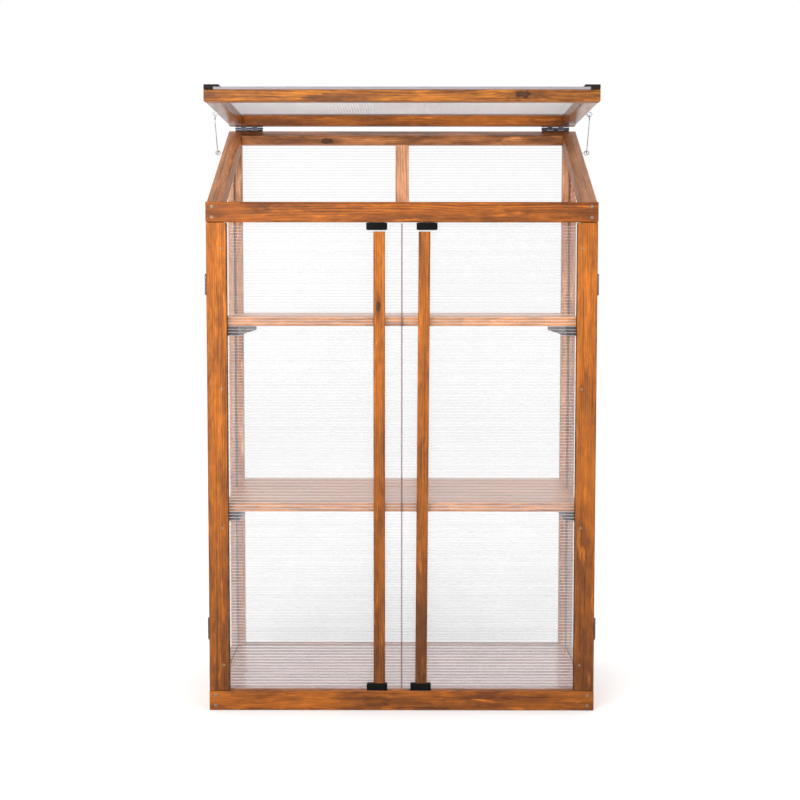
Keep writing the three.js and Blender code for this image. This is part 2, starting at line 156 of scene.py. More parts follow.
def new_material(name):
    """An empty material, its tree, and a Principled shader wired to the output."""
    material = bpy.data.materials.new(name)
    material.use_nodes = True
    material.node_tree.nodes.clear()
    tree = Tree(material.node_tree)
    shader = tree.node("ShaderNodeBsdfPrincipled")
    tree.node("ShaderNodeOutputMaterial", {"Surface": shader.outputs[0]})
    return material, tree, shader


# ---- Stained fir ----

NO_KNOT = (9.0, 0.0, 0.0)
RING_SPACING = 3.0 * MM
RING_DRIFT = 22 * MM
PITH_DISTANCE = 85 * MM
ARRIS = (0.2 * MM, 2.2 * MM)
EULER = 2.718
FIR_SHINE = 0.24


def fir_group():
    """Growth rings, fibres, stain clouds, softened arrises and one knot, in grain space."""
    group = bpy.data.node_groups.new("StainedFir", "ShaderNodeTree")
    face = group.interface
    sockets = {
        "Vector": ("Grain", "Seed", "Half size", "Pith", "Knot"),
        "Float": ("Knot size", "Knot depth", "Ring spacing", "Cloud", "Fade"),
        "Color": ("Pale", "Deep", "Dark"),
    }
    for kind, names in sockets.items():
        for name in names:
            face.new_socket(name, in_out="INPUT", socket_type=f"NodeSocket{kind}")
    for name, kind in (("Color", "Color"), ("Roughness", "Float"), ("Height", "Float")):
        face.new_socket(name, in_out="OUTPUT", socket_type=f"NodeSocket{kind}")
    tree = Tree(group)
    given = tree.node("NodeGroupInput").outputs
    grain, pale, deep, dark = given["Grain"], given["Pale"], given["Deep"], given["Dark"]
    knot_size, knot_depth = given["Knot size"], given["Knot depth"]
    place = tree.vector("ADD", grain, given["Seed"])

    # Slow drift of the rings along the length, and their swelling round the knot.
    drift_y = tree.noise(place, (2.6, 12.0, 12.0))
    drift_z = tree.noise(tree.vector("ADD", place, (3.1, 7.7, 1.3)), (2.1, 9.0, 9.0))
    drift = tree.node("ShaderNodeCombineXYZ", {
        "Y": tree.product(tree.math("SUBTRACT", drift_y, 0.5), RING_DRIFT),
        "Z": tree.product(tree.math("SUBTRACT", drift_z, 0.5), RING_DRIFT),
    }).outputs[0]
    from_knot = tree.vector("SUBTRACT", grain, given["Knot"])
    stretched = tree.scaled(from_knot, (0.42, 1.0, 1.0))
    knot_distance = tree.math("DIVIDE", tree.vector("LENGTH", stretched, output=1), knot_size)
    falloff = tree.product(tree.math("POWER", knot_distance, 2.0), -0.18)
    swelling = tree.math("POWER", EULER, falloff)
    pushed = tree.product(swelling, tree.product(knot_size, 1.6))

    # Growth rings: distance from the pith, dark at the end of each year.
    across = tree.vector("SUBTRACT", tree.vector("ADD", grain, drift), given["Pith"])
    across = tree.scaled(across, (0.0, 1.0, 1.0))
    radius = tree.math("ADD", tree.vector("LENGTH", across, output=1), pushed)
    years = tree.math("DIVIDE", radius, given["Ring spacing"])
    wobble = tree.noise(place, (9.0, 160.0, 160.0), 3.0, 0.6)
    season = tree.math("FRACT", tree.math("ADD", years, tree.product(wobble, 0.8)))
    rise = tree.ramp(season, 0.30, 0.90)
    fall = tree.ramp(season, 0.92, 1.0, 1.0, 0.0)
    strength = tree.ramp(tree.noise(place, (5.0, 60.0, 60.0)), 0.3, 0.7, 0.16, 0.62)
    latewood = tree.product(rise, fall, strength)

    # Stain clouds, dark streaks, fibres and mottle. The colour gets steadily darker or lighter along the length.
    fibre = tree.noise(place, (22.0, 760.0, 760.0), 3.0, 0.65)
    streak = tree.noise(place, (4.0, 240.0, 240.0), 3.0, 0.6)
    cloud = tree.noise(place, (6.0, 26.0, 26.0), 4.0, 0.66)
    mottle = tree.noise(place, (48.0, 110.0, 110.0), 3.0, 0.6)
    along = tree.node("ShaderNodeSeparateXYZ", {"Vector": grain}).outputs["X"]
    along_grade = tree.product(along, given["Fade"])
    cloud = tree.product(tree.ramp(cloud, 0.36, 0.66), given["Cloud"])
    cloud = tree.math("ADD", cloud, along_grade, clamp=True)
    color = tree.mix(cloud, pale, deep)
    color = tree.mix(latewood, color, dark)
    color = tree.mix(tree.ramp(streak, 0.50, 0.76, 0.0, 0.72), color, dark)
    fibre_shade = tree.ramp(fibre, 0.28, 0.72, 0.76, 1.18)
    shade = tree.product(fibre_shade, tree.ramp(mottle, 0.28, 0.72, 0.86, 1.12))
    along_factor = tree.math("SUBTRACT", 1.0, tree.product(along_grade, 0.9))
    color = tree.times(color, tree.product(shade, along_factor))

    # Painted highlights: bright gold streaks that stand in for light gleaming off the wood.
    painted_highlight = tree.vector("ADD", place, (5.3, 2.2, 8.1))
    painted_highlight = tree.noise(painted_highlight, (11.0, 70.0, 70.0), 4.0, 0.66)
    painted_highlight = tree.product(tree.ramp(painted_highlight, 0.54, 0.74, 0.0, 0.62), given["Cloud"])
    color = tree.mix(painted_highlight, color, tree.scaled(pale, (1.75, 1.85, 2.0)))

    # The knot: a dark heart with its own rings, a darker rim, and deeper stain along the grain.
    blotch = tree.noise(place, (110.0, 170.0, 170.0), 3.0, 0.6)
    blotch = tree.product(tree.math("SUBTRACT", blotch, 0.5), 1.6)
    ragged = tree.math("ADD", knot_distance, blotch)
    trail = tree.vector("LENGTH", tree.scaled(from_knot, (0.16, 0.8, 0.8)), output=1)
    trail = tree.math("DIVIDE", trail, knot_size)
    halo = tree.product(tree.ramp(trail, 0.5, 1.9, 0.75, 0.0), knot_depth)
    color = tree.mix(halo, color, tree.times(deep, 0.72))
    heart_rings = tree.math("FRACT", tree.product(knot_distance, 3.0))
    heart = tree.mix(tree.math("MULTIPLY_ADD", heart_rings, 0.35, 0.55), deep, dark)
    inside = tree.product(tree.ramp(ragged, 0.8, 1.2, 0.95, 0.0), knot_depth)
    color = tree.mix(inside, color, heart)
    rim = tree.product(tree.ramp(ragged, 0.6, 0.9), tree.ramp(ragged, 1.0, 1.3, 0.75, 0.0))
    color = tree.mix(tree.product(rim, knot_depth), color, dark)

    # Arrises: stain worn thin in places and gathered in others.
    sides = tree.vector("SUBTRACT", given["Half size"], tree.vector("ABSOLUTE", grain))
    split = tree.node("ShaderNodeSeparateXYZ", {"Vector": sides}).outputs
    edge = tree.ramp(tree.math("MAXIMUM", split["Y"], split["Z"]), *ARRIS, 1.0, 0.0)
    patchy = tree.noise(place, (30.0, 90.0, 90.0))
    worn = tree.product(edge, tree.ramp(patchy, 0.48, 0.66, 0.0, 0.55))
    color = tree.mix(worn, color, pale)
    gathered = tree.product(edge, tree.ramp(patchy, 0.32, 0.46, 0.60, 0.0))
    color = tree.mix(gathered, color, dark)

    roughness = tree.ramp(fibre, 0.25, 0.75, 0.38, 0.56)
    roughness = tree.math("ADD", roughness, tree.product(edge, 0.10))
    height = tree.math("ADD", tree.product(fibre, 0.6), latewood)
    tree.node("NodeGroupOutput", {"Color": color, "Roughness": roughness, "Height": height})
    return group


FIR = fir_group()

# Each tone is the pale, the deep and the dark colour of one batch of stained wood. The cleat tone is far darker
# than its wood: painted shade for the cleats in the shade under the shelves.
TONES = {
    "post": (srgb(178, 98, 20), srgb(128, 68, 14), srgb(54, 26, 8)),
    "rail": (srgb(168, 90, 16), srgb(114, 58, 12), srgb(48, 22, 6)),
    "base": (srgb(162, 88, 16), srgb(100, 50, 10), srgb(40, 19, 6)),
    "door": (srgb(164, 90, 18), srgb(112, 60, 14), srgb(54, 26, 8)),
    "lid": (srgb(180, 106, 30), srgb(110, 61, 20), srgb(42, 20, 8)),
    "lid_back": (srgb(195, 111, 34), srgb(128, 69, 22), srgb(62, 30, 12)),
    "back": (srgb(203, 130, 74), srgb(118, 70, 36), srgb(56, 30, 16)),
    "inner": (srgb(229, 170, 128), srgb(188, 124, 84), srgb(110, 65, 40)),
    "board": (srgb(208, 138, 76), srgb(162, 98, 48), srgb(92, 50, 24)),
    "floor": (srgb(198, 166, 156), srgb(174, 140, 130), srgb(140, 106, 96)),
    # Painted shade: the cleats sit in the shade under the shelves, so their wood is painted nearly black.
    "cleat": (srgb(70, 44, 34), srgb(46, 28, 22), srgb(26, 15, 12)),
}


def stained_fir(name, centre, half, along, across, tone, seed, cloud=1.0, knot=NO_KNOT,
                knot_size=6 * MM, knot_depth=1.0, boards=0.0, fade=0.0, shade=1.0, matt=1.0):
    """A material whose grain runs along one direction of a piece.

    cloud is how blotchy the stain is, boards the width of glued strips, fade how much darker the
    piece gets per metre along the grain (less than 0 is paler), shade how light this piece is
    against its batch, and matt how rough it is.
    """
    material, tree, shader = new_material(name)
    local = tree.vector("SUBTRACT", tree.position(), tuple(centre))
    axes = (along, across, along.cross(across))
    parts = [tree.vector("DOT_PRODUCT", local, tuple(axis), output=1) for axis in axes]
    grain = tree.node("ShaderNodeCombineXYZ", dict(zip("XYZ", parts))).outputs[0]
    offset = tuple(seed * factor for factor in (1.37, 2.11, 0.73))
    if boards:
        strip = tree.math("FLOOR", tree.math("DIVIDE", parts[1], boards))
        shift = tree.product(strip, 3.7)
        offsets = {"X": shift, "Y": shift, "Z": float(seed)}
        offset = tree.node("ShaderNodeCombineXYZ", offsets).outputs[0]
    lean = 0.45 + 0.55 * math.sin(seed * 2.3)
    pale, deep, dark = [(*[channel * shade for channel in color[:3]], 1.0) for color in TONES[tone]]
    fir = tree.node("ShaderNodeGroup", node_tree=FIR)
    values = {
        "Grain": grain,
        "Seed": offset,
        "Half size": [sum(abs(axis[k]) * half[k] for k in range(3)) for axis in axes],
        "Pith": (0.0, PITH_DISTANCE * math.cos(lean), -PITH_DISTANCE * math.sin(lean)),
        "Knot": knot,
        "Knot size": knot_size,
        "Knot depth": knot_depth,
        "Ring spacing": RING_SPACING,
        "Cloud": cloud,
        "Fade": fade,
        "Pale": pale,
        "Deep": deep,
        "Dark": dark,
    }
    for key, value in values.items():
        tree.feed(fir.inputs[key], value)
    tree.feed(shader.inputs["Base Color"], fir.outputs["Color"])
    tree.feed(shader.inputs["Roughness"], tree.product(fir.outputs["Roughness"], matt))
    tree.feed(shader.inputs["Normal"], tree.bump(fir.outputs["Height"], 0.35, 0.4 * MM))
    shader.inputs["Specular IOR Level"].default_value = FIR_SHINE / matt
    return material


# ---- Plastics and metals ----

WHITE = (1.0, 1.0, 1.0, 1.0)
# Light that a white flute passes on from behind, as a share of white.
SCATTER = 0.06
POLYCARBONATE_IOR = 1.58


def twin_wall(name, stack, origin, pitch, haze, white, rib, clear_above):
    """Clear twin-wall sheet: a light haze, a little denser over each web and duller low down.

    stack is the direction in which flute follows flute, rib how much denser the haze is over a
    web, and clear_above the height at which the haze is thinnest.
    """
    material, tree, shader = new_material(name)
    position = tree.position()
    level = tree.vector("DOT_PRODUCT", position, tuple(stack), output=1)
    level = tree.math("SUBTRACT", level, origin)
    wave = tree.math("COSINE", tree.product(level, 2 * math.pi / pitch))
    wave = tree.math("MULTIPLY_ADD", wave, 0.5, 0.5)
    web = tree.math("POWER", wave, 3.0)
    height = tree.node("ShaderNodeSeparateXYZ", {"Vector": position}).outputs["Z"]
    cloud = tree.noise(position, (7.0, 7.0, 7.0))
    clouded = tree.ramp(cloud, 0.3, 0.7, haze * 0.9, haze * 1.1)
    clouded = tree.product(clouded, tree.ramp(height, 0.15, clear_above, 1.15, 0.5))
    tree.feed(shader.inputs["Alpha"], tree.math("ADD", clouded, tree.product(web, rib)))
    smears = tree.noise(position, (60.0, 60.0, 60.0), 3.0)
    tree.feed(shader.inputs["Roughness"], tree.ramp(smears, 0.3, 0.7, 0.14, 0.26))
    milky = tree.mix(cloud, srgb(white + 3, white, white + 4), srgb(white - 6, white - 5, white))
    flute = tree.node("ShaderNodeCombineXYZ", {"X": tree.product(level, 90.0)}).outputs[0]
    uneven = {"Vector": flute, "Scale": 1.0, "Detail": 3.0, "Roughness": 0.6}
    uneven = tree.node("ShaderNodeTexNoise", uneven).outputs["Fac"]
    uneven = tree.ramp(uneven, 0.38, 0.62, 0.74, 1.08)
    tone = tree.product(tree.ramp(height, 0.10, 0.95, 0.72, 1.0), uneven)
    tree.feed(shader.inputs["Base Color"], tree.times(milky, tone))
    shader.inputs["IOR"].default_value = POLYCARBONATE_IOR
    shader.inputs["Emission Color"].default_value = WHITE
    shader.inputs["Emission Strength"].default_value = SCATTER
    return material


def plain_plastic(name, color, roughness, alpha=1.0, glow=0.0, shine=0.5):
    """Moulded plastic with a fine grain."""
    material, tree, shader = new_material(name)
    position = tree.position()
    grain = tree.noise(position, (1800.0, 1800.0, 1800.0))
    patch = tree.noise(position, (120.0, 120.0, 120.0))
    rough = tree.ramp(grain, 0.3, 0.7, roughness - 0.06, roughness + 0.08)
    tree.feed(shader.inputs["Base Color"], tree.mix(patch, color, tinted(color, 1.25)))
    tree.feed(shader.inputs["Roughness"], rough)
    tree.feed(shader.inputs["Normal"], tree.bump(grain, 0.2, 0.1 * MM))
    shader.inputs["Alpha"].default_value = alpha
    shader.inputs["Specular IOR Level"].default_value = shine
    shader.inputs["Emission Color"].default_value = WHITE
    shader.inputs["Emission Strength"].default_value = glow
    return material


def plated_metal(name, color, roughness):
    """Plated steel with faint rolling marks and duller patches."""
    material, tree, shader = new_material(name)
    position = tree.position()
    marks = tree.noise(position, (300.0, 300.0, 900.0), 3.0)
    patch = tree.noise(position, (140.0, 140.0, 140.0), 3.0)
    dull = tree.ramp(patch, 0.35, 0.7)
    rough = tree.ramp(marks, 0.3, 0.7, roughness - 0.07, roughness + 0.10)
    tree.feed(shader.inputs["Base Color"], tree.mix(dull, color, tinted(color, 0.72)))
    tree.feed(shader.inputs["Roughness"], rough)
    tree.feed(shader.inputs["Normal"], tree.bump(marks, 0.15, 0.1 * MM))
    shader.inputs["Metallic"].default_value = 1.0
    return material


HINGE_STEEL = plated_metal("hinge_steel", srgb(98, 102, 118), 0.24)
ZINC = plated_metal("zinc_wire", srgb(206, 208, 214), 0.24)
SCREW_STEEL = plated_metal("screw_steel", srgb(136, 134, 122), 0.46)
BLACK = plain_plastic("black_plastic", srgb(3, 2, 3), 0.55, shine=0.10)
BROWN = plain_plastic("brown_plastic", srgb(26, 13, 9), 0.52, shine=0.16)
# The webs glow a little: a painted glow that stands in for light that passes through them from behind.
WEB = plain_plastic("sheet_web", srgb(178, 176, 180), 0.40, alpha=0.30, glow=0.62)
FAINT_WEB = plain_plastic("lid_web", srgb(222, 218, 224), 0.40, alpha=0.12, glow=0.30)
# The tape is dark: partly real tape, partly painted shade for the gap between the doors.
TAPE = plain_plastic("edge_tape_and_gap_shade", srgb(104, 76, 76), 0.60, alpha=0.90, shine=0.15)
CLOSER = plain_plastic("flute_closer", srgb(132, 127, 134), 0.50)


# ---- Mesh helpers ----

def finished(bm, name, materials, body, smooth=None):
    """Turns a bmesh in the frame's axes into a piece that rides on a body."""
    bmesh.ops.recalc_face_normals(bm, faces=bm.faces)
    mesh = bpy.data.meshes.new(name)
    bm.to_mesh(mesh)
    bm.free()
    for material in materials:
        mesh.materials.append(material)
    if smooth is not None:
        mesh.shade_smooth()
        mesh.set_sharp_from_angle(angle=math.radians(smooth))
    piece = bpy.data.objects.new(name, mesh)
    bpy.context.scene.collection.objects.link(piece)
    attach(piece, body)
    return piece


def in_place_of(node, bm, name, materials, smooth=None):
    """A piece that stands for a CAD node and rides on the node's body; the node is hidden."""
    piece = finished(bm, name, materials, body_of[node], smooth)
    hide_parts(node)


def solid_of(node):
    """A copy of a CAD node's solid, with its triangles joined back into flat faces."""
    bm = bmesh.new()
    bm.from_mesh(frame["nodes"][node].data)
    bmesh.ops.remove_doubles(bm, verts=bm.verts, dist=1e-6)
    bmesh.ops.dissolve_limit(bm, angle_limit=math.radians(0.5), verts=bm.verts, edges=bm.edges)
    for face in bm.faces:
        face.material_index = 0
    return bm


def corners_of(bm):
    """The lowest and the highest corner of a bmesh."""
    low = Vector([min(v.co[k] for v in bm.verts) for k in range(3)])
    high = Vector([max(v.co[k] for v in bm.verts) for k in range(3)])
    return low, high


def verts_in(made):
    """The vertices among what an extrusion made."""
    return [item for item in made["geom"] if isinstance(item, bmesh.types.BMVert)]


def round_edges(bm, width, segments=3, sharper_than=25):
    """Rounds every edge that turns by more than an angle."""
    limit = math.radians(sharper_than)
    edges = [e for e in bm.edges if e.is_manifold and e.calc_face_angle(0.0) > limit]
    bmesh.ops.bevel(bm, geom=edges, offset=width, segments=segments, profile=0.5,
                    affect="EDGES", clamp_overlap=True)


def add_box(bm, low, high):
    """A closed box between two corners."""
    size = Vector(high) - Vector(low)
    middle = (Vector(low) + Vector(high)) / 2
    place = Matrix.Translation(middle) @ Matrix.Diagonal((*size, 1.0))
    return bmesh.ops.create_cube(bm, size=1.0, matrix=place)["verts"]


def add_lathe(bm, profile, matrix, sides):
    """A closed turned shape: (radius, height) pairs from one end of the axis to the other."""
    rings = []
    for radius, height in profile:
        if radius == 0:
            rings.append([bm.verts.new(matrix @ Vector((0, 0, height)))])
            continue
        angles = [2 * math.pi * k / sides for k in range(sides)]
        ring = [Vector((radius * math.cos(a), radius * math.sin(a), height)) for a in angles]
        rings.append([bm.verts.new(matrix @ point) for point in ring])
    for lower, upper in zip(rings, rings[1:]):
        for k in range(sides):
            after = (k + 1) % sides
            corners = [lower[k % len(lower)], lower[after % len(lower)]]
            corners += [upper[after % len(upper)], upper[k % len(upper)]]
            bm.faces.new(list(dict.fromkeys(corners)))


def add_wire(bm, points, radius, sides=12):
    """A round wire along points that lie in one plane across X, with domed ends."""
    rings = []
    last = len(points) - 1
    angles = [2 * math.pi * k / sides for k in range(sides)]
    for i, point in enumerate(points):
        along = (points[min(last, i + 1)] - points[max(0, i - 1)]).normalized()
        side = along.cross(X_AXIS).normalized()
        spokes = [side * math.cos(a) + X_AXIS * math.sin(a) for a in angles]
        rings.append([bm.verts.new(point + radius * spoke) for spoke in spokes])
    for lower, upper in zip(rings, rings[1:]):
        for k in range(sides):
            after = (k + 1) % sides
            bm.faces.new([lower[k], lower[after], upper[after], upper[k]])
    for ring, end, inner in ((rings[0], points[0], points[1]), (rings[-1], points[-1], points[-2])):
        tip = bm.verts.new(end + (end - inner).normalized() * radius * 0.7)
        for k in range(sides):
            bm.faces.new([ring[k], ring[(k + 1) % sides], tip])


def add_torus(bm, matrix, major, minor, around=36, sides=12):
    """A ring whose axis is the matrix's Z."""
    rings = []
    for i in range(around):
        turn = 2 * math.pi * i / around
        out = Vector((math.cos(turn), math.sin(turn), 0))
        ring = []
        for k in range(sides):
            a = 2 * math.pi * k / sides
            point = out * (major + minor * math.cos(a)) + Z_AXIS * (minor * math.sin(a))
            ring.append(bm.verts.new(matrix @ point))
        rings.append(ring)
    for i in range(around):
        here, there = rings[i], rings[(i + 1) % around]
        for k in range(sides):
            after = (k + 1) % sides
            bm.faces.new([here[k], here[after], there[after], there[k]])


def facing(point, normal, up=Z_AXIS):
    """A frame at a point whose Z is the normal."""
    z = Vector(normal).normalized()
    x = up.cross(z)
    if x.length < 1e-6:
        x = X_AXIS.copy()
    x.normalize()
    rotation = Matrix((x, z.cross(x), z)).transposed().to_4x4()
    return Matrix.Translation(Vector(point)) @ rotation


def spread(low, high, count, margin):
    """Evenly spaced values between two ends, with a margin as a share of the length."""
    shares = [margin + (1 - 2 * margin) * k / (count - 1) for k in range(count)]
    return [low + share * (high - low) for share in shares]


# ---- Timber ----

ARRIS_ROUND = 0.7 * MM
# Painted shade: how much darker and how much rougher the copy of the wood is on a face that lies in shade.
SHADED_SIDE_FACTOR, SHADED_SIDE_MATT = 0.12, 2.0
slope_along = Vector((0, math.cos(ROOF_SLOPE), math.sin(ROOF_SLOPE)))
seed_count = 0


def timber(node, along, across, tone, shaded_side=None, **look):
    """One length of wood in place of its CAD node: softened corners and its own grain.

    The optional side is the direction of a face that gets a much darker, duller copy of the wood: painted shade
    for the shade that falls on that face.
    """
    global seed_count
    seed_count += 1
    low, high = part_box(node)
    bm = solid_of(node)
    round_edges(bm, ARRIS_ROUND)
    grain = ((low + high) / 2, (high - low) / 2, along, across, tone, seed_count)
    materials = [stained_fir(f"fir_{node}", *grain, **look)]
    if shaded_side:
        bm.normal_update()
        # Painted shade: a much darker, duller copy of the wood for the face in shade.
        shaded_look = {**look, "shade": look["shade"] * SHADED_SIDE_FACTOR, "matt": SHADED_SIDE_MATT}
        materials.append(stained_fir(f"fir_{node}_side", *grain, **shaded_look))
        for face in bm.faces:
            face.material_index = int(face.normal.dot(shaded_side) > 0.9)
    in_place_of(node, bm, f"{node}_timber", materials)


timber("front_top_rail", X_AXIS, Z_AXIS, "rail")
timber("front_bottom_rail", X_AXIS, Z_AXIS, "base", fade=0.35,
       knot=(-0.050, -0.002, 0.009), knot_size=10 * MM, knot_depth=0.4)
timber("back_top_rail", X_AXIS, Z_AXIS, "back", knot=(-0.163, -0.008, 0.014), knot_size=5 * MM)
timber("back_middle_rail", X_AXIS, Z_AXIS, "back")
timber("back_bottom_rail", X_AXIS, Z_AXIS, "back")
timber("back_center_strut", Z_AXIS, X_AXIS, "inner", shade=1.12)
for side, s in SIDES.items():
    left = side == "left"
    timber(f"front_post_{side}", Z_AXIS, X_AXIS, "inner")
    timber(f"back_post_{side}", Z_AXIS, X_AXIS, "inner", shade=0.86)
    timber(f"side_bottom_rail_{side}", Y_AXIS, Z_AXIS, "inner")
    timber(f"side_sloped_rail_{side}", slope_along, X_AXIS, "back", cloud=0.5,
           shade=0.98 if left else 0.74)
    # The stile's inner side face gets painted shade, for the shade that falls on it.
    timber(f"door_stile_{side}", Z_AXIS, X_AXIS, "post", shaded_side=-s * X_AXIS,
           shade=1.0 if left else 0.86, fade=-0.7)
    timber(f"lid_side_rail_{side}", Y_AXIS, X_AXIS, "lid_back", shade=0.6, matt=0.5)
    for level in ("upper", "middle"):
        # The cleats' dark tone is painted shade.
        timber(f"{level}_shelf_cleat_{side}", Y_AXIS, X_AXIS, "cleat")
timber("door_batten_left", Z_AXIS, X_AXIS, "door", fade=-0.8,
       knot=(0.300, -0.002, -0.007), knot_size=3.5 * MM)
timber("door_batten_right", Z_AXIS, X_AXIS, "door", fade=-0.8)
timber("lid_front_rail", X_AXIS, Z_AXIS, "lid", knot=(0.230, 0.002, 0.014), knot_size=5.5 * MM)
timber("lid_back_rail", X_AXIS, Z_AXIS, "lid_back")
BOARD_STRIP = 65 * MM
for shelf in ("upper_shelf", "middle_shelf"):
    timber(shelf, X_AXIS, Y_AXIS, "board", boards=BOARD_STRIP, cloud=0.45, matt=0.7)
timber("floor_board", X_AXIS, Y_AXIS, "floor", boards=BOARD_STRIP, cloud=0.6, matt=0.3)


# ---- Twin-wall sheets ----

X, Y, Z = range(3)
PITCH = 5.9 * MM
SHEET_ROUND = 0.3 * MM
WEB_THICKNESS = 0.5 * MM
# How far a web stops short of the sheet's ends and of its two skins.
WEB_END, WEB_SKIN = 0.4 * MM, 0.1 * MM
# A height above the whole object, for a sheet whose haze doesn't thin out.
ALWAYS_DENSE = 9.0


def twin_wall_sheet(node, run, stack, pitch, haze=0.075, white=200, rib=0.02, web=WEB,
                    matrix=Matrix.Identity(4), clear_above=0.9):
    """A sheet with its own outline as skin and a web at every pitch, which runs along one axis.

    run is the axis along the flutes and stack the axis across them, in the matrix's own axes.
    """
    bm = solid_of(node)
    bm.transform(matrix.inverted())
    low, high = corners_of(bm)
    segments = [(e.verts[0].co.copy(), e.verts[1].co.copy()) for e in bm.edges]
    through = X + Y + Z - run - stack
    round_edges(bm, SHEET_ROUND, segments=2)
    count = max(1, round((high[stack] - low[stack]) / pitch))
    step = (high[stack] - low[stack]) / count
    for k in range(1, count):
        level = low[stack] + k * step
        ends = []
        for a, b in segments:
            if (a[stack] - level) * (b[stack] - level) < 0:
                share = (level - a[stack]) / (b[stack] - a[stack])
                ends.append(a[run] + share * (b[run] - a[run]))
        first, last = low.copy(), high.copy()
        first[run], last[run] = min(ends) + WEB_END, max(ends) - WEB_END
        first[stack], last[stack] = level - WEB_THICKNESS / 2, level + WEB_THICKNESS / 2
        first[through] += WEB_SKIN
        last[through] -= WEB_SKIN
        made = add_box(bm, first, last)
        for face in {face for vert in made for face in vert.link_faces}:
            face.material_index = 1
    bm.transform(matrix)
    axis = (matrix.to_3x3() @ (X_AXIS, Y_AXIS, Z_AXIS)[stack]).normalized()
    origin = low[stack] + matrix.translation.dot(axis)
    skin = twin_wall(f"twin_wall_{node}", axis, origin, step, haze, white, rib, clear_above)
    in_place_of(node, bm, f"{node}_twin_wall", [skin, web])


for side in SIDES:
    twin_wall_sheet(f"door_sheet_{side}", X, Z, PITCH, haze=0.105, white=196, rib=0.04)
    twin_wall_sheet(f"side_panel_{side}", Y, Z, 2 * PITCH, haze=0.09, white=196, web=FAINT_WEB)
twin_wall_sheet("back_panel_lower", X, Z, PITCH, web=FAINT_WEB)
twin_wall_sheet("back_panel_upper", X, Z, PITCH, web=FAINT_WEB)
twin_wall_sheet("lid_sheet", Y, X, PITCH, haze=0.30, white=184, web=FAINT_WEB,
                matrix=lid_frame, clear_above=ALWAYS_DENSE)

bm = solid_of("lid_sheet")
bm.transform(lid_frame.inverted())
lid_sheet_low, lid_sheet_high = corners_of(bm)
bm.free()

# A closer laps the lid sheet's faces, stands a little proud of its end and wraps both skins.
CLOSER_LAP, CLOSER_PROUD, CLOSER_SKIN = 6 * MM, 0.4 * MM, 0.35 * MM
for end, y, away in (("front", lid_sheet_low.y, -1), ("back", lid_sheet_high.y, 1)):
    y_ends = sorted((y - away * CLOSER_LAP, y + away * CLOSER_PROUD))
    bm = bmesh.new()
    add_box(bm, (lid_sheet_low.x, y_ends[0], lid_sheet_low.z - CLOSER_SKIN),
            (lid_sheet_high.x, y_ends[1], lid_sheet_high.z + CLOSER_SKIN))
    round_edges(bm, 0.3 * MM, segments=2)
    bm.transform(lid_frame)
    finished(bm, f"lid_closer_{end}", [CLOSER], "lid")

# Tape closes a door sheet's free edge. It is dark and starts at a share of the way from the cabinet's middle
# to the sheet, so that it also paints the shadow in the gap between the doors; it laps the sheet a
# little, and has its own thickness.
TAPE_START, TAPE_LAP, TAPE_SKIN = 0.25, 0.3 * MM, 0.15 * MM
for side, s in SIDES.items():
    low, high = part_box(f"door_sheet_{side}")
    inner = min(abs(low.x), abs(high.x))
    x_ends = sorted((s * inner * TAPE_START, s * (inner + TAPE_LAP)))
    bm = bmesh.new()
    add_box(bm, (x_ends[0], low.y - TAPE_SKIN, low.z), (x_ends[1], high.y + TAPE_SKIN, high.z))
    round_edges(bm, 0.12 * MM, segments=2)
    finished(bm, f"door_edge_tape_{side}", [TAPE], f"door_{side}")


# ---- Screws ----

def screw_mesh(radius, sides=32):
    """A flat countersunk head with a cross recess. Its top is at Z = 0."""
    bm = bmesh.new()
    arm, wide, recess, skirt_depth = radius * 0.55, radius * 0.16, radius * 0.45, radius * 0.28
    angles = [2 * math.pi * k / sides for k in range(sides)]
    rim = [bm.verts.new((radius * math.cos(a), radius * math.sin(a), 0)) for a in angles]
    cross = []
    for quarter in range(4):
        turn = Matrix.Rotation(quarter * math.pi / 2, 3, "Z")
        for x, y in ((arm, -wide), (arm, wide), (wide, wide)):
            cross.append(bm.verts.new(turn @ Vector((x, y, 0))))
    rim_edges = [bm.edges.new((rim[k], rim[(k + 1) % sides])) for k in range(sides)]
    cross_edges = [bm.edges.new((cross[k], cross[(k + 1) % 12])) for k in range(12)]
    bmesh.ops.triangle_fill(bm, edges=rim_edges + cross_edges, use_beauty=True, normal=Z_AXIS)
    floor = verts_in(bmesh.ops.extrude_edge_only(bm, edges=cross_edges))
    for vert in floor:
        vert.co = Vector((vert.co.x * 0.7, vert.co.y * 0.7, -recess))
    floor_edges = [e for e in bm.edges if all(v in floor for v in e.verts)]
    bmesh.ops.holes_fill(bm, edges=floor_edges, sides=0)
    for vert in verts_in(bmesh.ops.extrude_edge_only(bm, edges=rim_edges)):
        vert.co = Vector((vert.co.x * 0.86, vert.co.y * 0.86, -skirt_depth))
    bmesh.ops.recalc_face_normals(bm, faces=bm.faces)
    mesh = bpy.data.meshes.new(f"screw_head_{round(radius * 1e4)}")
    bm.to_mesh(mesh)
    bm.free()
    mesh.materials.append(SCREW_STEEL)
    return mesh


WOOD_SCREW = screw_mesh(3.0 * MM)
HINGE_SCREW = screw_mesh(2.3 * MM)


def screw(name, point, normal, body, mesh=WOOD_SCREW, turn=0.5, proud=0.25 * MM):
    """A screw head at a point of a surface."""
    piece = bpy.data.objects.new(name, mesh)
    bpy.context.scene.collection.objects.link(piece)
    place = facing(Vector(point) + Vector(normal) * proud, normal)
    piece.matrix_world = place @ Matrix.Rotation(turn, 4, "Z")
    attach(piece, body)


# Insets of the screws from the outer faces, and from the ends of the pieces that they hold.
FRONT_RAIL_END, STILE_EDGE, LID_EDGE = 12.5 * MM, 29 * MM, 22 * MM
FRONT_RAIL_LEVELS = {"upper": 9 * MM, "lower": 29.5 * MM}
STILE_TOP, STILE_BOTTOM, STILE_SCREWS = 50 * MM, 51 * MM, 4
SIDE_RAIL_END, SIDE_RAIL_HEIGHT, BACK_POST_TOP = 15 * MM, 19 * MM, 22 * MM

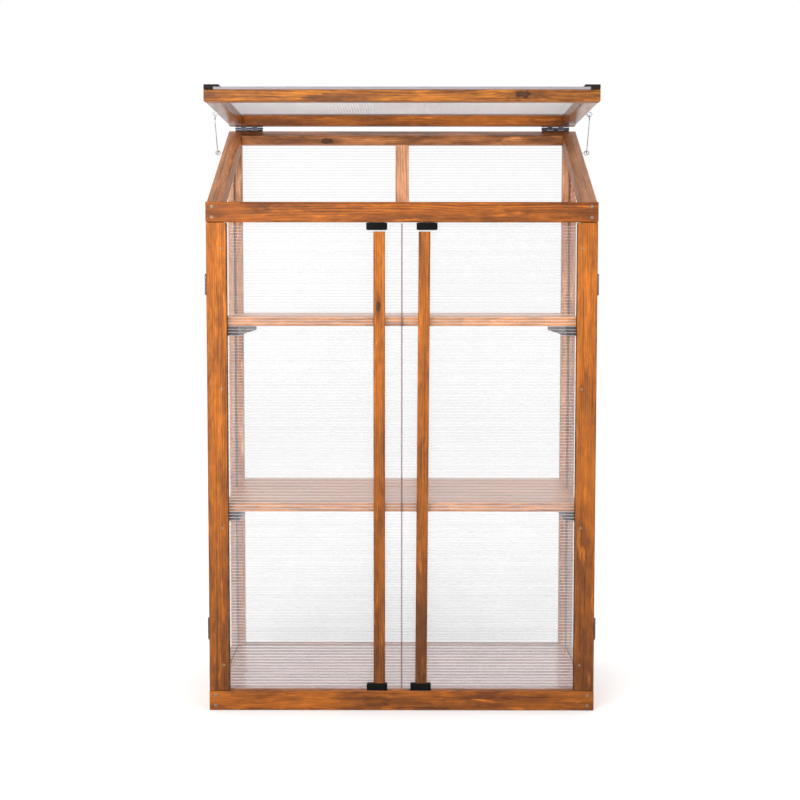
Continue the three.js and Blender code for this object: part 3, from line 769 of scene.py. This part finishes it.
rail_low, rail_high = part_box("front_top_rail")
base_low, base_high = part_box("front_bottom_rail")
outer_x = rail_high.x
for side, s in SIDES.items():
    outward = Vector((s, 0, 0))
    door = f"door_{side}"
    x = s * (outer_x - FRONT_RAIL_END)
    for level, inset in FRONT_RAIL_LEVELS.items():
        screw(f"screw_top_rail_{side}_{level}", (x, rail_low.y, rail_high.z - inset), FRONT,
              "cabinet", turn=inset * 90)
        screw(f"screw_bottom_rail_{side}_{level}", (x, base_low.y, base_high.z - inset), FRONT,
              "cabinet", turn=inset * 50)

    low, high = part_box(f"door_stile_{side}")
    gap = (high.z - low.z - STILE_TOP - STILE_BOTTOM) / (STILE_SCREWS - 1)
    for k in range(STILE_SCREWS):
        point = (s * (outer_x - STILE_EDGE), low.y, high.z - STILE_TOP - k * gap)
        screw(f"screw_stile_{side}_{k + 1}", point, FRONT, door, HINGE_SCREW, turn=k)

    post_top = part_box(f"back_post_{side}")[1].z
    for name in ("back_top_rail", "back_middle_rail", "back_bottom_rail"):
        low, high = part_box(name)
        z = min((low.z + high.z) / 2, post_top - BACK_POST_TOP)
        point = (s * outer_x, (low.y + high.y) / 2, z)
        screw(f"screw_{name}_{side}", point, outward, "cabinet", turn=0.3 * s)
    back_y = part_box(f"side_bottom_rail_{side}")[1].y
    for end, y in (("front", rail_high.y), ("back", back_y)):
        point = (s * outer_x, y + SIDE_RAIL_END, SIDE_RAIL_HEIGHT)
        screw(f"screw_side_rail_{side}_{end}", point, outward, "cabinet", turn=0.9)

    for shelf in ("upper_shelf", "middle_shelf"):
        low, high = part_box(shelf)
        cleat_low, cleat_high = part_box(f"{shelf}_cleat_{side}")
        cleat_x, _, cleat_z = (cleat_low + cleat_high) / 2
        inner_x = s * min(abs(cleat_low.x), abs(cleat_high.x))
        for k, y in enumerate(spread(low.y, high.y, 3, 0.12)):
            screw(f"screw_{shelf}_{side}_{k + 1}", (cleat_x, y, high.z), Z_AXIS, "cabinet",
                  turn=k + 0.4)
            screw(f"screw_{shelf}_cleat_{side}_{k + 1}", (inner_x, y, cleat_z), -outward,
                  "cabinet", turn=k)

    low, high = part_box(f"door_batten_{side}")
    sheet_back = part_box(f"door_sheet_{side}")[1].y
    for k, z in enumerate(spread(low.z, high.z, 4, 0.06)):
        point = ((low.x + high.x) / 2, sheet_back, z)
        screw(f"screw_batten_{side}_{k + 1}", point, BACK, door, turn=k * 0.7, proud=0.9 * MM)

    low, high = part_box(f"lid_side_rail_{side}")
    x = s * (max(abs(low.x), abs(high.x)) - LID_EDGE)
    for k, y in enumerate(spread(low.y, high.y, 5, 0.06)):
        local = lid_frame.inverted() @ Vector((x, y, LID_PIN.z))
        point = lid_frame @ Vector((local.x, local.y, lid_sheet_high.z))
        screw(f"screw_lid_sheet_{side}_{k + 1}", point, Z_AXIS, "lid", turn=k * 0.6,
              proud=0.5 * MM)


# ---- Hinges ----

LEAF = 1.5 * MM
LEAF_CORNER = 2.4 * MM
# The gaps between two knuckles, and between a leaf's plate and the knuckles.
KNUCKLE_GAP, PLATE_GAP = 0.2 * MM, 0.5 * MM
KNUCKLES = 5
OUTER, INNER = (0, 2, 4), (1, 3)


def hinge_leaf(node, pin, plate, mount, knuckles, holes, length, reach, radius):
    """A pressed leaf with rounded corners, rolled knuckles and its screws, for its CAD node.

    plate is the direction of the leaf from the pin, and mount the outward normal of the timber.
    The leaf with the outer knuckles carries the pin.
    """
    rotation = Matrix((plate, mount, plate.cross(mount))).transposed().to_4x4()
    place = Matrix.Translation(pin) @ rotation
    end = length / 2
    slot = radius + PLATE_GAP
    bm = bmesh.new()
    outline = [(slot, -end), (slot, end)]
    for z, start in ((end - LEAF_CORNER, 90), (LEAF_CORNER - end, 0)):
        for k in range(6):
            angle = math.radians(start - 18 * k)
            x = reach - LEAF_CORNER + LEAF_CORNER * math.cos(angle)
            outline.append((x, z + LEAF_CORNER * math.sin(angle)))
    face = bm.faces.new([bm.verts.new((x, -radius, z)) for x, z in outline])
    raised = verts_in(bmesh.ops.extrude_face_region(bm, geom=[face]))
    bmesh.ops.translate(bm, verts=raised, vec=(0, LEAF, 0))
    bmesh.ops.recalc_face_normals(bm, faces=bm.faces)
    round_edges(bm, 0.3 * MM, segments=2, sharper_than=50)

    bore, rim = radius * 0.52, 0.25 * MM
    for k in knuckles:
        z0 = -end + k * length / KNUCKLES + (0 if k == 0 else KNUCKLE_GAP)
        z1 = -end + (k + 1) * length / KNUCKLES - (0 if k == KNUCKLES - 1 else KNUCKLE_GAP)
        add_box(bm, (0, -radius, z0 + 0.05 * MM),
                (slot + 0.2 * MM, -radius + LEAF, z1 - 0.05 * MM))
        profile = [(bore, z0), (radius - rim, z0), (radius, z0 + rim), (radius, z1 - rim),
                   (radius - rim, z1), (bore, z1), (bore, z0)]
        add_lathe(bm, profile, Matrix.Identity(4), 28)
    if knuckles == OUTER:
        shaft, head = radius * 0.45, radius * 0.72
        half = [(shaft, end - 0.02 * MM), (head, end + 0.1 * MM), (head * 0.7, end + 0.7 * MM),
                (0, end + 0.9 * MM)]
        profile = [(r, -z) for r, z in reversed(half)] + half
        add_lathe(bm, profile, Matrix.Identity(4), 20)
    bm.transform(place)
    in_place_of(node, bm, f"{node}_leaf", [HINGE_STEEL], smooth=35)
    for number, (x, z) in enumerate(holes):
        point = place @ Vector((x, -radius + LEAF, z))
        screw(f"{node}_screw_{number + 1}", point, mount, body_of[node], HINGE_SCREW,
              turn=number + 0.2, proud=0.1 * MM)


DOOR_HINGE = {"reach": 18 * MM, "radius": 2.2 * MM}
DOOR_HOLES = [(11 * MM, -12 * MM), (11 * MM, 12 * MM)]
LID_HINGE = {"reach": 24 * MM, "radius": 2.6 * MM}
LID_HOLES = [(14 * MM, -21 * MM), (14 * MM, 0), (14 * MM, 21 * MM)]
tilt = Matrix.Rotation(LID_TILT, 3, "X")
for side, s in SIDES.items():
    outward = Vector((s, 0, 0))
    door_pin = Vector(joints[f"door_{side}_hinge"]["pos_m"])
    for level in ("upper", "lower"):
        fixed, moving = [f"door_hinge_{kind}_{level}_{side}" for kind in ("fixed", "moving")]
        low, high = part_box(fixed)
        pin = Vector((door_pin.x, door_pin.y, (low.z + high.z) / 2))
        size = {"length": high.z - low.z, **DOOR_HINGE}
        hinge_leaf(fixed, pin, Y_AXIS, outward, OUTER, DOOR_HOLES, **size)
        hinge_leaf(moving, pin, -Y_AXIS, outward, INNER, DOOR_HOLES, **size)
    fixed, moving = [f"lid_hinge_{kind}_{side}" for kind in ("fixed", "moving")]
    low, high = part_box(fixed)
    pin = Vector(((low.x + high.x) / 2, LID_PIN.y, LID_PIN.z))
    size = {"length": high.x - low.x, **LID_HINGE}
    hinge_leaf(fixed, pin, -Z_AXIS, Y_AXIS, OUTER, LID_HOLES, **size)
    hinge_leaf(moving, pin, tilt @ Z_AXIS, tilt @ Y_AXIS, INNER, LID_HOLES, **size)


# ---- Screw eyes and hook stays ----

EYE_RING, EYE_WIRE = 4.8 * MM, 1.2 * MM
EYE_PLANE = 394 * MM
EYE_THREADS = 5


def screw_eye(node, root, hole):
    """A screw eye: root is where it enters the timber, and hole the direction through its ring."""
    outward = Vector((1 if root.x > 0 else -1, 0, 0))
    reach = EYE_PLANE - abs(root.x)
    bm = bmesh.new()
    add_torus(bm, facing(root + outward * reach, hole, outward), EYE_RING, EYE_WIRE)
    neck = reach - EYE_RING + EYE_WIRE * 0.4
    profile = [(0, -0.2 * MM), (EYE_WIRE * 0.8, -0.2 * MM)]
    for k in range(EYE_THREADS):
        start = 0.3 * MM + k * (neck * 0.55) / EYE_THREADS
        profile += [(EYE_WIRE * 0.82, start), (EYE_WIRE * 1.12, start + neck * 0.055)]
    profile += [(EYE_WIRE, neck * 0.62), (EYE_WIRE, neck), (0, neck)]
    add_lathe(bm, profile, facing(root, outward), 20)
    in_place_of(node, bm, f"{node}_ring", [ZINC], smooth=40)


STAY_WIRE, STAY_LOOP = 1.1 * MM, 4.6 * MM
STAY_OFFSET, STAY_TIP, STAY_BEND, STAY_NECK = 4.2 * MM, 4.5 * MM, 3 * MM, 5 * MM


def hook_stay(side, head, foot):
    """A bent wire: a loop round the lid's eye, a straight run and a hook in the rail's eye."""
    node = f"hook_stay_{side}"
    down = (foot - head).normalized()
    across = X_AXIS.cross(down)
    length = (foot - head).length

    def at(along, out):
        return head + down * along + across * out

    points = []
    for k in range(25):
        turn = math.radians(20 + 340 * k / 24)
        points.append(at(STAY_LOOP * math.cos(turn), STAY_LOOP * math.sin(turn)))
    neck = STAY_LOOP + STAY_NECK
    points += [at(STAY_LOOP + 1.2 * MM, -1.2 * MM), at(neck - 1 * MM, -STAY_OFFSET + 0.5 * MM)]
    bend = length - STAY_BEND
    points += [at(neck, -STAY_OFFSET), at(bend, -STAY_OFFSET)]
    for k in range(1, 7):
        turn = math.pi / 2 * k / 6
        out = -STAY_OFFSET + STAY_BEND * (1 - math.cos(turn))
        points.append(at(bend + STAY_BEND * math.sin(turn), out))
    points.append(at(length, STAY_TIP))
    bm = bmesh.new()
    add_wire(bm, points, STAY_WIRE)
    in_place_of(node, bm, f"{node}_wire", [ZINC], smooth=50)


for side, s in SIDES.items():
    low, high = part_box(f"lid_eye_{side}")
    lid_root = (low + high) / 2
    lid_root.x = s * min(abs(low.x), abs(high.x))
    screw_eye(f"lid_eye_{side}", lid_root, tilt @ Y_AXIS)
    low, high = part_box(f"rail_eye_{side}")
    rail_root = (low + high) / 2
    rail_root.x = s * min(abs(low.x), abs(high.x))
    head = Vector(joints[f"stay_{side}_swing"]["pos_m"])
    foot = Vector((head.x, rail_root.y, rail_root.z))
    screw_eye(f"rail_eye_{side}", rail_root, X_AXIS.cross((foot - head).normalized()))
    hook_stay(side, head, foot)


# ---- Catches, strike plates and corner caps ----

MOULDED_ROUND = 0.6 * MM
# Where a catch's two magnets lie, as shares of its width, and their size.
MAGNET_SHARES, MAGNET_HALF, MAGNET_EDGE = (0.30, 0.70), 5 * MM, 3 * MM
MAGNET_SUNK, MAGNET_PROUD = 0.4 * MM, 0.25 * MM
STRIKE_END, STRIKE_EDGE, STRIKE_THICKNESS = 4 * MM, 1.5 * MM, 0.5 * MM


def moulded(node, material):
    """A moulded part in place of its CAD node, with rounded edges."""
    bm = solid_of(node)
    round_edges(bm, MOULDED_ROUND)
    in_place_of(node, bm, f"{node}_moulding", [material], smooth=35)


for side in SIDES:
    moulded(f"lid_corner_cap_{side}", BROWN)
    for end, away in (("top", 1), ("bottom", -1)):
        node = f"door_catch_{end}_{side}"
        moulded(node, BLACK)
        low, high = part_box(node)
        face = high.z if end == "top" else low.z
        z_ends = sorted((face - away * MAGNET_SUNK, face + away * MAGNET_PROUD))
        bm = bmesh.new()
        for share in MAGNET_SHARES:
            x = low.x + share * (high.x - low.x)
            add_box(bm, (x - MAGNET_HALF, low.y + MAGNET_EDGE, z_ends[0]),
                    (x + MAGNET_HALF, high.y - MAGNET_EDGE, z_ends[1]))
        round_edges(bm, 0.15 * MM, segments=2)
        finished(bm, f"{node}_magnet", [HINGE_STEEL], f"door_{side}")
        rail_face = rail_low.z if end == "top" else base_high.z
        z_ends = sorted((rail_face, rail_face - away * STRIKE_THICKNESS))
        bm = bmesh.new()
        add_box(bm, (low.x + STRIKE_END, low.y + STRIKE_EDGE, z_ends[0]),
                (high.x - STRIKE_END, high.y - STRIKE_EDGE, z_ends[1]))
        round_edges(bm, 0.15 * MM, segments=2)
        finished(bm, f"strike_plate_{end}_{side}", [HINGE_STEEL], "cabinet")


# ---- Floor, light and camera ----

FLOOR_HALF, FLOOR_DROP = 30, 0.5 * MM


def floor_paint():
    """Matt studio paint, which glows a little more far from the lamps so that it stays even."""
    material, tree, shader = new_material("floor_paint")
    away = tree.vector("LENGTH", tree.position(), output=1)
    tree.feed(shader.inputs["Emission Strength"], tree.ramp(away, 1.5, 12.0, 0.07, 0.12))
    shader.inputs["Base Color"].default_value = (0.87, 0.88, 0.885, 1.0)
    shader.inputs["Roughness"].default_value = 0.8
    shader.inputs["Specular IOR Level"].default_value = 0.1
    shader.inputs["Emission Color"].default_value = WHITE
    return material


bm = bmesh.new()
bmesh.ops.create_grid(bm, x_segments=1, y_segments=1, size=FLOOR_HALF)
floor_mesh = bpy.data.meshes.new("floor")
bm.to_mesh(floor_mesh)
bm.free()
floor_mesh.materials.append(floor_paint())
floor = bpy.data.objects.new("floor", floor_mesh)
floor.location.z = -FLOOR_DROP
bpy.context.scene.collection.objects.link(floor)

# The studio: lit from above and behind, and plain white where the camera sees it.
world = bpy.data.worlds.new("studio")
world.use_nodes = True
world.node_tree.nodes.clear()
sky = Tree(world.node_tree)
seen = sky.node("ShaderNodeLightPath").outputs["Is Camera Ray"]
way = sky.node("ShaderNodeTexCoord").outputs["Generated"]
way = sky.node("ShaderNodeSeparateXYZ", {"Vector": way}).outputs
overhead = sky.ramp(way["Z"], 0.05, 0.80, 0.0, 0.95)
behind = sky.ramp(way["Y"], 0.05, 0.75, 0.0, 0.75)
level = sky.math("ADD", sky.math("MAXIMUM", overhead, behind), 0.26)
backdrop = sky.node("ShaderNodeBackground", {"Color": WHITE, "Strength": 1.0})
ambient = sky.node("ShaderNodeBackground", {"Color": (1.0, 0.995, 0.99, 1), "Strength": level})
chosen = sky.node("ShaderNodeMixShader", {0: seen, 1: ambient.outputs[0], 2: backdrop.outputs[0]})
sky.node("ShaderNodeOutputWorld", {"Surface": chosen.outputs[0]})
bpy.context.scene.world = world


def soft_light(name, place, target, size, power, color=(1.0, 1.0, 1.0)):
    """A rectangular lamp of a size in metres and a power in watts, aimed at a target."""
    light = bpy.data.lights.new(name, "AREA")
    light.shape = "RECTANGLE"
    light.size, light.size_y = size
    light.energy = power
    light.color = color
    lamp = bpy.data.objects.new(name, light)
    lamp.location = place
    direction = Vector(target) - Vector(place)
    lamp.rotation_euler = direction.to_track_quat("-Z", "Y").to_euler()
    bpy.context.scene.collection.objects.link(lamp)


soft_light("key", (-1.3, -3.5, 1.7), (0, 0, 0.65), (2.2, 2.2), 91, (1.0, 0.99, 0.97))
soft_light("fill", (2.2, -3.2, 1.3), (0, 0, 0.6), (2.0, 2.0), 33, (0.98, 0.99, 1.0))
soft_light("rim", (0.4, 3.0, 3.0), (0, 0, 0.7), (3.0, 1.8), 20)

SENSOR_WIDTH, FOCAL_LENGTH = 36.0, 69.38
# The camera's distance is measured from the front face of the cabinet, in metres.
CAMERA_SIDE, CAMERA_DISTANCE, CAMERA_HEIGHT = 0.004, 2.9976, 0.8438
CAMERA_YAW, CAMERA_DOWN, CAMERA_ROLL = 0.142, 4.343, 0.036
camera_data = bpy.data.cameras.new("camera")
camera_data.sensor_width = SENSOR_WIDTH
camera_data.lens = FOCAL_LENGTH
camera_data.clip_start = 0.05
camera_data.clip_end = 200.0
camera = bpy.data.objects.new("camera", camera_data)
yaw = Matrix.Rotation(math.radians(CAMERA_YAW), 4, "Z")
pitch = Matrix.Rotation(math.radians(90 - CAMERA_DOWN), 4, "X")
roll = Matrix.Rotation(math.radians(CAMERA_ROLL), 4, "Z")
place = Matrix.Translation((CAMERA_SIDE, rail_low.y - CAMERA_DISTANCE, CAMERA_HEIGHT))
camera.matrix_world = place @ yaw @ pitch @ roll
bpy.context.scene.collection.objects.link(camera)
bpy.context.scene.camera = camera
bpy.context.scene.view_settings.view_transform = "Standard"
